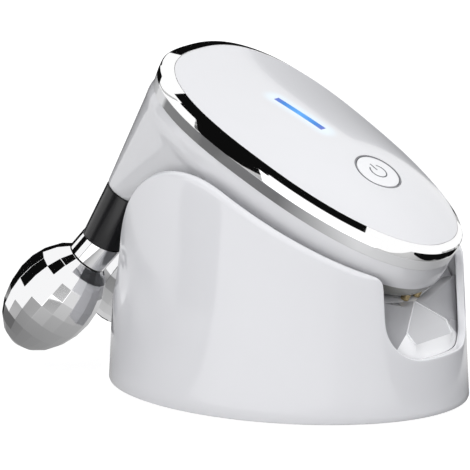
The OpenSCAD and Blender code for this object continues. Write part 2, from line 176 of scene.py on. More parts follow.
soft_lamp("front_lamp", (0.35, -1.15, 0.22), 0.6, 8.0)
soft_lamp("top_lamp", (0.30, 0.25, 0.58), 0.35, 1.7)
soft_lamp("head_lamp", (-1.1, -0.5, 0.7), 0.6, 1.0)


def plain_light(name, level):
    made = bpy.data.materials.new(name)
    n = blank_nodes(made)
    put_out(n, add(n, "ShaderNodeEmission", {"Color": WHITE, "Strength": level}))
    return made


def for_mirrors(flag):
    with_traits(flag, visible_camera=False, visible_diffuse=False, visible_shadow=False, visible_transmission=False)


def flag_in_the_air(name, azimuth, elevation, distance, width, height, material):
    """A card that mirrors see in one direction from the object, azimuth counted from the tail towards the back."""
    a, e = math.radians(azimuth), math.radians(elevation)
    way = Vector((math.cos(a) * math.cos(e), math.sin(a) * math.cos(e), math.sin(e)))
    centre, turn = STUDIO_AIM + way * distance, way.to_track_quat("Z", "Y")
    for_mirrors(card(name, [centre + turn @ corner for corner in oblong(width, height)], material))


def flat_flag(name, corners, material, height=ON_THE_FLOOR):
    """A level card that mirrors see, on the floor or overhead."""
    for_mirrors(card(name, [(x, y, height) for x, y in corners], material))


flag_black = plain_light("flag_black", 0.004)
flag_white = plain_light("flag_white", 1.0)
flag_bright = plain_light("flag_bright", 1.4)
flag_in_the_air("flag_behind", 138, 13, 0.52, 0.66, 0.42, flag_black)
flag_in_the_air("flag_head_front", -153, 28, 0.6, 0.30, 0.40, flag_black)
flag_in_the_air("flag_front_top", -105, 50, 1.0, 0.60, 0.42, flag_black)
flat_flag("flag_overhead", ((-0.28, 0.20), (-0.15, -0.02), (0.05, -0.20), (0.30, -0.28), (0.68, -0.20), (0.70, 0.12),
                            (0.45, 0.12), (0.20, 0.12), (0.00, 0.25), (-0.04, 0.38)), flag_black, OVERHEAD)
flat_flag("flag_near_head", ((-0.206, -0.207), (-0.827, -0.787), (-0.449, -1.048), (-0.115, -0.269)), flag_black)
flat_flag("flag_near_side", ((-0.065, -0.150), (-0.449, -1.048), (0.820, -0.970), (0.075, -0.075), (0.000, -0.075),
                             (-0.035, -0.085)), flag_bright)
flat_flag("flag_near_tail", ((0.075, -0.075), (0.820, -0.970), (0.970, -0.420), (0.111, -0.021)), flag_white)
flat_flag("flag_head_side", ((-0.250, -0.210), (-0.830, -0.790), (-3.000, -2.600), (-4.000, 1.500), (-0.470, 0.100)),
          flag_white)
flat_flag("flag_head_back", ((-0.13, 0.00), (-0.40, 0.05), (-0.45, 0.45), (-0.05, 0.30), (-0.08, 0.08)), flag_black)
flat_flag("flag_tail", ((0.104, -0.020), (0.200, -0.060), (0.250, 0.100), (0.200, 0.350), (0.020, 0.350),
                        (0.030, 0.140), (0.070, 0.085), (0.092, 0.040)), flag_black)

# ---- Base shell: a tapered oval tub of glossy white ABS, moulded in one shot. Its
# slanted rim is rolled to a soft lip, drops low at the head for the necks and
# dips to a rounded finger scoop at the tail. The power inlet sits at the back.
BASE_HALF_LENGTH = 69.8
BASE_HALF_WIDTH = 54.8
BASE_TAPER = 0.048
BASE_FOOT = 0.4
BASE_WALL = 3.0
BASE_RIM_POINTS = 480
RIM_SAMPLES = 600
RIM_PASSES = 40
RIM_EASING = 10
LIP_EASING = 12
WALL_ROWS = 18
LIP_RADIUS = 2.3
LIP_INNER_RADIUS = 0.6
SCOOP_LIP_RADIUS = 0.6
FACE_TILT = math.radians(28.4)
FACE_X = 14.0
FACE_Z = 91.2
RIM_DROP = 12.8
SHOULDER_RADIUS = 37.6
SHOULDER_X = -13.5
HEAD_WALL_HEIGHT = 28.0
SCOOP_HALF_WIDTH = 25.3
SCOOP_FLOOR = 21.5
SCOOP_CORNER = 14.0
INLET_X = 18.0
INLET_Z = 12.0
INLET_HOLE = 5.3
INLET_CUT = (40, 62)
BASE_COLOUR = (0.80, 0.80, 0.82)
WELD = 0.000005
DRIFT_SCALE = 25
GRAIN_DEPTH = 0.00005
COAT_ROUGHNESS = 0.03

rim_x0 = FACE_X - RIM_DROP * math.sin(FACE_TILT)
rim_z0 = FACE_Z - RIM_DROP * math.cos(FACE_TILT)
shoulder_z = rim_z0 - (SHOULDER_X - rim_x0) * math.tan(FACE_TILT) - SHOULDER_RADIUS / math.cos(FACE_TILT)


def rim_height(x):
    """Height of the rim at a place along the base: the slope, the shoulder and the low head wall."""
    slope = rim_z0 - (x - rim_x0) * math.tan(FACE_TILT)
    arc_start = SHOULDER_X + SHOULDER_RADIUS * math.sin(FACE_TILT)
    arc_end = SHOULDER_X - SHOULDER_RADIUS
    arc = shoulder_z + np.sqrt(np.maximum(SHOULDER_RADIUS ** 2 - (x - SHOULDER_X) ** 2, 0))
    foot = np.interp(x, arc_end + np.array([-20, -13, -7, -3, 0]),
                     HEAD_WALL_HEIGHT + np.array([0, 1, 5, 11, shoulder_z - HEAD_WALL_HEIGHT]))
    return np.where(x > arc_start, slope, np.where(x > arc_end, arc, foot))


def base_halves(z, inset=0.0):
    """Half the base's length and half its width at a height, so far inside its outer wall."""
    return BASE_HALF_LENGTH - BASE_TAPER * z - inset, BASE_HALF_WIDTH - BASE_TAPER * z - inset


def base_point(angle, z, inset=0.0):
    a, b = base_halves(z, inset)
    return np.stack([a * np.cos(angle), b * np.sin(angle), z], -1)


def distances(line):
    """How far along a line each of its points lies."""
    return np.concatenate([[0], np.cumsum(np.linalg.norm(np.diff(line, axis=0), axis=1))])


def resample(line, count, endpoint=True):
    """So many points along a line, at steps of one length."""
    line = np.asarray(line, float)
    walked = distances(line)
    places = np.linspace(0, walked[-1], count, endpoint=endpoint)
    return np.stack([np.interp(places, walked, line[:, k]) for k in range(line.shape[1])], 1)


def base_rim():
    """The rim as angle and height round the base, its corners eased."""
    mean = (BASE_HALF_LENGTH + BASE_HALF_WIDTH) / 2
    z = 50.0
    for _ in range(8):
        a, b = base_halves(z)
        edge = math.asin(SCOOP_HALF_WIDTH / b)
        z = float(rim_height(np.array(a * math.cos(edge))))
    angle = np.linspace(edge, 2 * math.pi - edge, RIM_SAMPLES)
    height = np.full_like(angle, 60.0)
    for _ in range(RIM_PASSES):
        height = 0.5 * height + 0.5 * rim_height(base_halves(height)[0] * np.cos(angle))
    turn = np.radians(np.linspace(0, 90, 24))
    inner = SCOOP_HALF_WIDTH - SCOOP_CORNER
    across = inner + SCOOP_CORNER * np.cos(turn)
    down = SCOOP_FLOOR + SCOOP_CORNER - SCOOP_CORNER * np.sin(turn)
    side = np.linspace(height[-1], SCOOP_FLOOR + SCOOP_CORNER, 14)[1:-1]
    straight = np.full_like(side, SCOOP_HALF_WIDTH)
    across = np.concatenate([-straight, -across, across[::-1], straight])
    down = np.concatenate([side, down, down[::-1], side[::-1]])
    scoop = 2 * math.pi + np.arcsin(across / base_halves(down)[1])
    path = np.vstack([np.stack([angle * mean, height], 1), np.stack([scoop * mean, down], 1)])
    jump = 2 * math.pi * mean
    steps = resample(np.vstack([path, path[:1] + [jump, 0]]), BASE_RIM_POINTS, endpoint=False)
    for _ in range(RIM_EASING):
        before, after = np.roll(steps, 1, 0), np.roll(steps, -1, 0)
        before[0, 0] -= jump
        after[-1, 0] += jump
        steps = 0.5 * steps + 0.25 * (before + after)
    return steps[:, 0] / mean, steps[:, 1]


def full_turn(count):
    return np.linspace(0, 2 * math.pi, count, endpoint=False)


def opened(*meshes):
    """One bmesh of these meshes."""
    bm = bmesh.new()
    for mesh in meshes:
        bm.from_mesh(mesh)
    return bm


def closed(bm, mesh):
    bm.to_mesh(mesh)
    bm.free()
    return mesh


def welded(bm, mesh):
    """The bmesh put into the mesh, its doubles merged and its faces turned outward."""
    bmesh.ops.remove_doubles(bm, verts=bm.verts, dist=WELD)
    bmesh.ops.recalc_face_normals(bm, faces=bm.faces)
    return closed(bm, mesh)


def skin(name, grids, wrap=True, close_ends=False):
    """One mesh from grids of points in millimetres, rows by columns, closed round their columns if wrap is set."""
    verts, faces, start = [], [], 0
    for grid in grids:
        rows, cols = grid.shape[:2]
        verts.extend((grid.reshape(-1, 3) * MM).tolist())
        for r in range(rows - 1):
            for c in range(cols if wrap else cols - 1):
                d = (c + 1) % cols
                faces.append((start + r * cols + c, start + r * cols + d,
                              start + (r + 1) * cols + d, start + (r + 1) * cols + c))
        if close_ends:
            faces.append(tuple(start + c for c in range(cols))[::-1])
            faces.append(tuple(start + (rows - 1) * cols + c for c in range(cols)))
        start += rows * cols
    mesh = bpy.data.meshes.new(name)
    mesh.from_pydata(verts, [], faces)
    return welded(opened(mesh), mesh)


def baked(piece):
    """The piece with its modifiers made into its mesh."""
    ready = bpy.data.meshes.new_from_object(piece.evaluated_get(bpy.context.evaluated_depsgraph_get()))
    piece.modifiers.clear()
    piece.data = ready
    return piece


def loose(mesh):
    return in_scene(mesh.name, mesh)


def cut_away(piece, *tools, how="DIFFERENCE"):
    """Takes other solids away from a piece, or joins them to it."""
    for tool in tools:
        with_traits(piece.modifiers.new("cut", "BOOLEAN"), operation=how, object=tool, solver="EXACT")
    baked(piece)
    for tool in tools:
        bpy.data.objects.remove(tool)
    return piece


def shown(piece, body, material, *stands_for, slot=None, sharp=28):
    """Smooths a finished piece but for its hard edges, and puts it on its body."""
    mesh = piece.data
    mesh.materials.clear()
    mesh.materials.append(material)
    bm = opened(mesh)
    for face in bm.faces:
        face.smooth = True
        face.material_index = 0
    for edge in bm.edges:
        edge.smooth = len(edge.link_faces) == 2 and edge.calc_face_angle(0) < math.radians(sharp)
    closed(bm, mesh)
    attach(piece, body)
    if stands_for:
        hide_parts(*stands_for)
    return piece


def drift_group():
    """Unevenness of a real surface: a slow drift of tone and gloss, and a fine grain for a bump."""
    group = bpy.data.node_groups.new("surface_drift", "ShaderNodeTree")
    for side, names in (("INPUT", ("Colour", "Tone Drift", "Gloss", "Gloss Drift", "Grain Scale")),
                        ("OUTPUT", ("Colour", "Roughness", "Height"))):
        for name in names:
            kind = "NodeSocketColor" if name == "Colour" else "NodeSocketFloat"
            group.interface.new_socket(name=name, in_out=side, socket_type=kind)
    n = group.nodes
    ins = n.new("NodeGroupInput").outputs
    place = n.new("ShaderNodeTexCoord").outputs["Object"]
    drift = add(n, "ShaderNodeTexNoise", {"Vector": place, "Scale": DRIFT_SCALE, "Detail": 3})
    grain = add(n, "ShaderNodeTexNoise", {"Vector": place, "Scale": ins["Grain Scale"], "Detail": 2})
    level = maths(n, "SUBTRACT", drift.outputs["Fac"], 0.5)
    tone = maths(n, "MULTIPLY_ADD", level, ins["Tone Drift"], 1.0)
    gloss = maths(n, "MULTIPLY_ADD", level, ins["Gloss Drift"], ins["Gloss"])
    shade = add(n, "ShaderNodeHueSaturation", {"Color": ins["Colour"], "Value": tone})
    add(n, "NodeGroupOutput", {"Colour": shade.outputs[0], "Roughness": gloss, "Height": grain.outputs["Fac"]})
    return group


surface_drift = drift_group()


def finish(name, colour, gloss, grain=900.0, bump=0.05, tone=0.05, drift=0.06, metallic=0.0, coat=0.0):
    """A Principled finish with the surface's drift; plain values go on the shader's own sockets."""
    made = bpy.data.materials.new(name)
    n = blank_nodes(made)
    surface = add(n, "ShaderNodeGroup", {"Colour": (*colour, 1), "Tone Drift": tone, "Gloss": gloss,
                                         "Gloss Drift": drift, "Grain Scale": grain}, node_tree=surface_drift).outputs
    dents = add(n, "ShaderNodeBump", {"Strength": bump, "Distance": GRAIN_DEPTH, "Height": surface["Height"]})
    put_out(n, add(n, "ShaderNodeBsdfPrincipled", {
        "Base Color": surface["Colour"], "Roughness": surface["Roughness"], "Metallic": metallic,
        "Coat Weight": coat, "Coat Roughness": COAT_ROUGHNESS, "Normal": dents.outputs["Normal"]}))
    return made


def rod(name, start, end, radius, around=48):
    """A plain round bar between two points, in millimetres."""
    start, end = Vector(start), Vector(end)
    bm = bmesh.new()
    bmesh.ops.create_cone(bm, cap_ends=True, segments=around, radius1=radius * MM, radius2=radius * MM,
                          depth=(end - start).length * MM)
    mesh = closed(bm, bpy.data.meshes.new(name))
    turn = (end - start).to_track_quat("Z", "Y").to_matrix().to_4x4()
    mesh.transform(Matrix.Translation((start + end) / 2 * MM) @ turn)
    return loose(mesh)


def unit(rows):
    return rows / np.linalg.norm(rows, axis=1)[:, None]


base_white = finish("base_white", BASE_COLOUR, 0.10, coat=0.3)

rim_angle, rim_z = base_rim()
outer_rim = base_point(rim_angle, rim_z)
along = unit(np.roll(outer_rim, -1, 0) - np.roll(outer_rim, 1, 0))
outward = unit(outer_rim * [1 / BASE_HALF_LENGTH ** 2, 1 / BASE_HALF_WIDTH ** 2, 0])
outward[:, 2] = BASE_TAPER
outward = unit(outward)
upward = np.cross(outward, along)
if upward[BASE_RIM_POINTS // 2, 2] < 0:
    upward = -upward


def wall_angle(points, inset):
    """The angle round the base of points on its wall, counted on from the rim's own."""
    a, b = base_halves(points[:, 2], inset)
    found = np.arctan2(points[:, 1] / b, points[:, 0] / a)
    return found + 2 * math.pi * np.round((rim_angle - found) / (2 * math.pi))


foot_angle = rim_angle[0] + full_turn(BASE_RIM_POINTS)
bend = np.radians(np.linspace(0, 90, 9))[:, None, None]
at_scoop = (outer_rim[:, 0] > 0) & (np.abs(outer_rim[:, 1]) < SCOOP_HALF_WIDTH + 3)
lip_radius = np.where(at_scoop, SCOOP_LIP_RADIUS, LIP_RADIUS)[:, None]
for _ in range(LIP_EASING):
    lip_radius = (np.roll(lip_radius, 1, 0) + 2 * lip_radius + np.roll(lip_radius, -1, 0)) / 4
lip = (outer_rim - upward * lip_radius - outward * lip_radius)[None] \
    + lip_radius * (outward[None] * np.cos(bend) + upward[None] * np.sin(bend))
bend = np.radians(np.linspace(90, 180, 5))[:, None, None]
inner_lip = (outer_rim - upward * LIP_INNER_RADIUS - outward * (BASE_WALL - LIP_INNER_RADIUS))[None] \
    + LIP_INNER_RADIUS * (outward[None] * np.cos(bend) + upward[None] * np.sin(bend))


def mix(a, b, share):
    return a * (1 - share) + b * share


def wall(top, inset, z_low):
    """The wall from a height up to a row of points on it."""
    share = np.linspace(0, 1, WALL_ROWS)[:, None]
    return base_point(mix(foot_angle, wall_angle(top, inset), share), mix(z_low, top[:, 2], share), inset)


foot_ring = [base_point(foot_angle, np.full(BASE_RIM_POINTS, z), inset)
             for z, inset in ((BASE_FOOT, BASE_WALL), (BASE_FOOT, 0.8), (BASE_FOOT + 0.25, 0.25))]
shell_grid = np.concatenate([np.stack(foot_ring), wall(lip[0], 0, BASE_FOOT + 0.8), lip[1:], inner_lip,
                             wall(inner_lip[-1], BASE_WALL, BASE_FOOT)[::-1][1:]])
base_shell = loose(skin("base_shell_skin", [shell_grid]))
cut_away(base_shell, rod("inlet_cutter", *((INLET_X, y, INLET_Z) for y in INLET_CUT), INLET_HOLE))
shown(base_shell, "base", base_white, "base_shell", slot="base_white")

# ---- Cradle tray: a white ABS moulding screwed inside the base. The handset lies on
# its slanted deck; at the tail two flanks and a ramp, with a thin rib down each of
# its edges, fall to the scoop, where a fingertip finds the handset's underside.
HULL_DEPTH = 26.0
FIT = 0.3
DECK_DROP = HULL_DEPTH + FIT
DECK_THICKNESS = 2.4
DECK_HEAD_END = -20.0
TRAY_INSET = BASE_WALL + FIT
LEG_RADIUS = 4.0
LEGS = ((38, 24), (-6, 34))
LEG_FOOT = 3.5
CONTACT_X = 58.5
CONTACT_Y = 3.55
PIN_HOLE = 1.05
PIN_CUT = (-DECK_DROP - 6, -DECK_DROP + 3)
RAMP_TOP = (55.0, 0.0, 39.1)
RAMP_SHOULDER = (60.3, 12.4, 30.6)
RAMP_FOOT = (63.4, 11.4, 26.4)
DECK_CORNER = (48.8, 26.5, 42.1)
LINING = 1.2
RIB_RADIUS = 0.35
# The pocket's flanks and ramp get darker greys than the tray: painted shade for the shadow of the handset lying over
# the pocket.
POCKET_PAINTED_SHADE = (0.38, 0.38, 0.395)
RAMP_PAINTED_SHADE = (0.62, 0.62, 0.635)
# The scoop floor's near-white, lighter than the tray, is painted light where light from above falls on it.
SCOOP_PAINTED_LIGHT = (0.93, 0.93, 0.94)
POCKET_EDGE = ((25.7, 44.0), (25.7, 35.5), (25.2, 31.8), (23.8, 28.3),
               (21.5, 25.3), (18.5, 23.0), (15.0, 21.6), (11.3, 21.1))
FLANK_STEPS = 36
FLANK_ROWS = 14
SIDEWAYS_STEPS = 13
DECK_HALF_WIDTH = 45.0
DECK_TAIL_X = 45.0
DECK_COLUMNS = 61
DECK_ROWS = 24

face_frame = Matrix.Translation((FACE_X, 0, FACE_Z)) @ Matrix.Rotation(FACE_TILT, 4, "Y")


def from_face(points):
    """Points given along and square to the handset's face, set in the room's frame."""
    flat = np.asarray(points, float)
    turned = flat.reshape(-1, 3) @ np.array(face_frame.to_3x3()).T + np.array(face_frame.translation)
    return turned.reshape(flat.shape)


def inner_wall_x(y, z, inset=TRAY_INSET):
    """How far the base's inner wall reaches to the tail at a place across it."""
    a, b = base_halves(z, inset)
    return a * np.sqrt(np.clip(1 - (y / b) ** 2, 0, 1))


def deck_z(x):
    """Height of the deck at a place along the base."""
    return FACE_Z - (x - FACE_X) * math.tan(FACE_TILT) - DECK_DROP / math.cos(FACE_TILT)


def slab(name, top, under):
    """A closed plate between two grids of the same size."""
    ring = [np.concatenate([g[0], g[1:, -1], g[-1, -2::-1], g[-2:0:-1, 0]]) for g in (top, under)]
    bm = opened(skin(name, [top, under], wrap=False), skin(name + "_edge", [np.stack(ring)]))
    return welded(bm, bpy.data.meshes.new(name))


deck_y = np.linspace(-DECK_HALF_WIDTH, DECK_HALF_WIDTH, DECK_COLUMNS)
head_x = FACE_X + DECK_HEAD_END * math.cos(FACE_TILT) - DECK_DROP * math.sin(FACE_TILT)
reach = np.abs(deck_y) / DECK_CORNER[1]
tail_x = np.where(reach < 1, RAMP_TOP[0] + (DECK_CORNER[0] - RAMP_TOP[0]) * reach, 1e3)
tail_x = np.minimum(tail_x, inner_wall_x(deck_y, deck_z(DECK_TAIL_X)))
share = np.linspace(0, 1, DECK_ROWS)[:, None]
deck_x = mix(np.maximum(head_x, -inner_wall_x(deck_y, deck_z(head_x))), tail_x, share)
deck_top = np.stack([deck_x, np.broadcast_to(deck_y, deck_x.shape), deck_z(deck_x)], -1)
tray = loose(slab("cradle_tray_skin", deck_top, deck_top - [0, 0, DECK_THICKNESS / math.cos(FACE_TILT)]))
pin_ends = [from_face((CONTACT_X, s * CONTACT_Y, z)) for s in (1, -1) for z in PIN_CUT]
cut_away(tray, rod("pin_cutter_left", pin_ends[0], pin_ends[1], PIN_HOLE, 24),
         rod("pin_cutter_right", pin_ends[2], pin_ends[3], PIN_HOLE, 24))

mirror = np.array([1, -1, 1])
outer_edge = resample([DECK_CORNER] + [(float(inner_wall_x(y, z)), y, z) for y, z in POCKET_EDGE], FLANK_STEPS)
ramp_edge = resample([RAMP_TOP, RAMP_SHOULDER, RAMP_FOOT], FLANK_STEPS)
across = np.linspace(0, 1, FLANK_ROWS)[:, None, None]
flank = mix(ramp_edge[None], outer_edge[None], across)
sideways = np.linspace(0, 1, SIDEWAYS_STEPS)[:, None, None]
ramp = mix(ramp_edge * mirror, ramp_edge, sideways)
floor_side = flank[:, -1]
sideways = np.linspace(0, 1, SIDEWAYS_STEPS)[None, :, None]
floor_grid = mix((floor_side * mirror)[:, None], floor_side[:, None], sideways)
bulge = inner_wall_x(floor_grid[..., 1], floor_grid[..., 2]) \
    - inner_wall_x(floor_grid[:, :1, 1], floor_grid[:, :1, 2])
floor_grid[..., 0] += bulge * np.linspace(0, 1, FLANK_ROWS)[:, None]
tray_white = finish("tray_white", BASE_COLOUR, 0.22)
pocket_painted_shade = finish("pocket_painted_shade", POCKET_PAINTED_SHADE, 0.28)
shown(tray, "base", tray_white, "cradle_tray", slot="base_white")


def lining(name, grids, material):
    """A thin lining of the pocket, its face towards the finger."""
    piece = loose(skin(name, grids, wrap=False))
    bm = opened(piece.data)
    if sum(face.normal.z * face.calc_area() for face in bm.faces) < 0:
        bmesh.ops.reverse_faces(bm, faces=bm.faces)
    closed(bm, piece.data)
    with_traits(piece.modifiers.new("thickness", "SOLIDIFY"), thickness=LINING * MM, offset=-1)
    shown(baked(piece), "base", material, slot="base_white", sharp=24)


shoulder = int(np.argmin(np.linalg.norm(ramp_edge - np.array(RAMP_SHOULDER), axis=1)))
# The flanks and the ramp in their darker greys: painted shade.
lining("scoop_walls", [flank[:, :shoulder + 1], flank[:, :shoulder + 1] * mirror], pocket_painted_shade)
lining("scoop_ramp", [ramp], finish("ramp_painted_shade", RAMP_PAINTED_SHADE, 0.28))
# The scoop floor in its lighter white: painted light.
lining("scoop_floor", [flank[:, shoulder:], flank[:, shoulder:] * mirror, floor_grid],
       finish("scoop_painted_light", SCOOP_PAINTED_LIGHT, 0.22))
for s in (1, -1):
    corners = [np.array(p) * [1, s, 1] for p in (RAMP_TOP, RAMP_SHOULDER, RAMP_FOOT)]
    for index in (0, 1):
        rib_name = f"scoop_rib_{index}_{'left' if s > 0 else 'right'}"
        rib = rod(rib_name, corners[index], corners[index + 1], RIB_RADIUS, 16)
        shown(rib, "base", base_white, slot="base_white")
for index, (x, y) in enumerate((x, s * y) for x, y in LEGS for s in (1, -1)):
    top = float(deck_z(x)) - DECK_THICKNESS / math.cos(FACE_TILT)
    shown(rod(f"tray_leg_{index}", (x, y, LEG_FOOT), (x, y, top), LEG_RADIUS), "base", tray_white, slot="base_white")

# ---- Underside of the base: a flat white cover held by four screws, a soft pad
# that keeps the base from sliding, the circuit board on its posts, the spring
# charge pins and the power inlet, all as they are in the solids.


def coated(node, material):
    """Gives a node of the solids its finish."""
    mesh = nodes[node].data
    mesh.materials.clear()
    mesh.materials.append(material)


cover_plastic = finish("cover_plastic", (0.76, 0.76, 0.78), 0.38)
pad_rubber = finish("pad_rubber", (0.10, 0.10, 0.105), 0.8, grain=1800, bump=0.3)
board_green = finish("board_green", (0.02, 0.16, 0.06), 0.35)
screw_steel = finish("screw_steel", (0.62, 0.62, 0.64), 0.25, metallic=1.0)
contact_gold = finish("contact_gold", (0.50, 0.40, 0.22), 0.25, metallic=1.0)
inlet_plastic = finish("inlet_plastic", (0.012, 0.012, 0.013), 0.4)
for node, material in (("bottom_cover", cover_plastic), ("anti_slip_pad", pad_rubber), ("base_pcb", board_green),
                       ("base_screws", screw_steel), ("charge_pin_left", contact_gold),
                       ("charge_pin_right", contact_gold), ("power_inlet", inlet_plastic)):
    coated(node, material)

# ---- Lower housing: one glossy white ABS shell under the bezel ring. A full bowl
# narrows at the head into two necks that hang down to the rollers. Its
# underside at the tail, round the charge contacts, is painted a darker grey: a
# painted shade for the shadow under the handset.
FACE_TAIL = 61.0
FACE_HEAD = 61.0
FACE_HALF_WIDTH = 35.5
FACE_EGG = 0.11
ROUND_TAIL = 2.3
ROUND_HEAD = 2.6
OVAL_POINTS = 192
HULL_WALL = 2.2
RING_HEIGHT = 9.6
HOUSING_TOP = -3.6
ROOT_TAIL = 12.0
ROOT_CORNER = 34.0
ROOT_GAP = 3.0
NECK_X = 53.3
NECK_Y = 17.0
NECK_END = 55.6
NECK_RADIUS = 8.1
COLLAR_SPLAY = math.radians(4.3)
SIDES = {"left": 1, "right": -1}
HOUSING_COLOUR = (0.75, 0.75, 0.765)
UNDERSIDE_PAINTED_SHADE = (0.30, 0.30, 0.28, 1)
UNDERSIDE_TOP = -18.5
UNDERSIDE_HEAD = 15.0
EDGE_RAISED = 2.4
VOXEL = 0.8
EASE_PASSES = 12
NECK_BORE = (-4, 8)
NECK_WALL = HULL_WALL + 2.4
BOX_FACES = ((0, 1, 3, 2), (4, 6, 7, 5), (0, 4, 5, 1), (2, 3, 7, 6), (0, 2, 6, 4), (1, 5, 7, 3))


def face_oval(grow_tail=0.0, grow_head=None, grow_side=None, z=0.0, shrink=1.0, count=OVAL_POINTS):
    """The handset's egg-shaped outline, grown by so many millimetres at its tail, head and sides."""
    grow_head = grow_tail if grow_head is None else grow_head
    grow_side = grow_tail if grow_side is None else grow_side
    t = full_turn(count)
    c, s = np.cos(t), np.sin(t)
    power = 2 / np.where(c > 0, ROUND_TAIL, ROUND_HEAD)
    x = np.where(c > 0, FACE_TAIL + grow_tail, FACE_HEAD + grow_head) * shrink * np.sign(c) * np.abs(c) ** power
    y = (FACE_HALF_WIDTH + grow_side) * shrink * np.sign(s) * np.abs(s) ** power * (1 - FACE_EGG * x / FACE_TAIL)
    return np.stack([x, y, np.full(count, float(z))], 1)


def smooth_levels(levels, count):
    """More levels between the given ones, on a smooth curve through them."""
    levels = np.asarray(levels, float)
    walked = distances(levels)
    slopes = np.gradient(levels, walked, axis=0)
    made = []
    for place in np.linspace(0, walked[-1], count):
        k = min(max(np.searchsorted(walked, place) - 1, 0), len(walked) - 2)
        h = walked[k + 1] - walked[k]
        t = (place - walked[k]) / h
        made.append((2 * t ** 3 - 3 * t ** 2 + 1) * levels[k] + (t ** 3 - 2 * t ** 2 + t) * h * slopes[k]
                    + (3 * t ** 2 - 2 * t ** 3) * levels[k + 1] + (t ** 3 - t ** 2) * h * slopes[k + 1])
    return np.array(made)


def hull_levels(t):
    """Depth below the seam, and growth at the tail, head and sides, t inside the outer surface."""
    d = HULL_DEPTH
    return [(d - t, -6 - t, -8 - t, -9 - t), (d - 1 - t, -3 - t, -2 - t, -5.5 - t),
            (d - 2.6 - t * 0.9, -0.7 - t, 2 - t, -2.2 - t), (d - 5.4 - t * 0.6, 1 - t, 4 - t, 0.6 - t),
            (d - 9.4 - t * 0.3, 2.2 - t, 5 - t, 2.2 - t), (d - 13, 2.4 - t, 5 - t, 2.4 - t),
            (RING_HEIGHT + t, 1.9 - t, 4.2 - t, 1.9 - t)]


def face_loft(name, rings, close_ends=True):
    return skin(name, [from_face(np.stack(rings))], close_ends=close_ends)


def face_box(name, low, high):
    mesh = bpy.data.meshes.new(name)
    corners = [(x, y, z) for x in (low[0], high[0]) for y in (low[1], high[1]) for z in (low[2], high[2])]
    mesh.from_pydata((from_face(corners) * MM).tolist(), [], BOX_FACES)
    return loose(mesh)


def face_axes(n, centre):
    """Object coordinates turned to the handset's face: along it, across it and up from it."""
    place = n.new("ShaderNodeTexCoord").outputs["Object"]
    turned = add(n, "ShaderNodeMapping", {"Vector": place, "Location": Vector(centre) * MM,
                                          "Rotation": (0, FACE_TILT, 0)}, vector_type="TEXTURE")
    return add(n, "ShaderNodeSeparateXYZ", {0: turned.outputs[0]}).outputs


def ramp_of(n, place, first, last, *between):
    """The colour at a place on a ramp from first to last, with pairs of place and colour between them."""
    made = add(n, "ShaderNodeValToRGB", {"Fac": place})
    made.color_ramp.elements[0].color, made.color_ramp.elements[1].color = first, last
    for where, colour in between:
        made.color_ramp.elements.new(where).color = colour
    return made.outputs["Color"]


def the_node(n, kind):
    return next(node for node in n if node.type == kind)


def hull_bowl(name, t, raised=0.0):
    """The bowl, t inside the outer surface, its open edge raised by so much."""
    rings = [face_oval(tail, head, side, -depth) for depth, tail, head, side in smooth_levels(hull_levels(t), 22)]
    if raised:
        rings.append(rings[-1] + [0, 0, raised])
    return face_loft(name, rings)


def neck_end(s):
    """Where a neck ends, in the face's frame."""
    return Matrix.Translation((-NECK_X, s * NECK_Y, -NECK_END)) @ Matrix.Rotation(s * COLLAR_SPLAY, 4, "X")


def neck_solid(name, s, t, count=64):
    """The neck, swept from a long root along the bowl's side down to its round end."""
    depth, tail, head, side = hull_levels(t)[5]
    root = [p for p in face_oval(tail, head, side) if p[0] < -ROOT_TAIL - t and s * p[1] > ROOT_GAP + t]
    root.append(np.array([-ROOT_CORNER - t, s * (ROOT_GAP + t), 0]))
    spots = [p + [0, 0, lift - depth] for p in root for lift in (0, 0.5)]
    end = neck_end(s)
    for turn in full_turn(count):
        for z in (0, 3):
            spots.append(end @ Vector(((NECK_RADIUS - t) * math.cos(turn), (NECK_RADIUS - t) * math.sin(turn), z)))
    bm = bmesh.new()
    for spot in from_face([tuple(p) for p in spots]) * MM:
        bm.verts.new(spot)
    hull = bmesh.ops.convex_hull(bm, input=bm.verts)
    inside = [v for v in hull["geom_interior"] if isinstance(v, bmesh.types.BMVert)]
    bmesh.ops.delete(bm, geom=inside, context="VERTS")
    bmesh.ops.recalc_face_normals(bm, faces=bm.faces)
    return closed(bm, bpy.data.meshes.new(name))


housing_white = finish("housing_white", HOUSING_COLOUR, 0.10, coat=0.3)
# The tail's underside, below UNDERSIDE_TOP and tailward of UNDERSIDE_HEAD, is painted a darker grey: painted shade
# for the shadow under the handset, put into its colour.
n = housing_white.node_tree.nodes
axes = face_axes(n, (FACE_X, 0, FACE_Z))
low = maths(n, "LESS_THAN", axes["Z"], UNDERSIDE_TOP * MM)
tailward = maths(n, "GREATER_THAN", axes["X"], UNDERSIDE_HEAD * MM)
painted_light_tones = ramp_of(n, maths(n, "MULTIPLY", low, tailward), (*HOUSING_COLOUR, 1), UNDERSIDE_PAINTED_SHADE)
put(the_node(n, "GROUP"), {"Colour": painted_light_tones})
housing = loose(hull_bowl("lower_housing_skin", 0, raised=EDGE_RAISED))
cut_away(housing, loose(neck_solid("neck_left", 1, 0)), loose(neck_solid("neck_right", -1, 0)), how="UNION")
with_traits(housing.modifiers.new("blend", "REMESH"), mode="VOXEL", voxel_size=VOXEL * MM)
with_traits(housing.modifiers.new("ease", "SMOOTH"), factor=0.5, iterations=EASE_PASSES)
baked(housing)
cut_away(housing, face_box("above_ring_foot", (-90, -60, -RING_HEIGHT), (90, 60, 20)))
ring_seat = [face_oval(-FIT, z=z) for z in (-RING_HEIGHT - 1, HOUSING_TOP)]
cut_away(housing, loose(face_loft("ring_seat", ring_seat)), how="UNION")
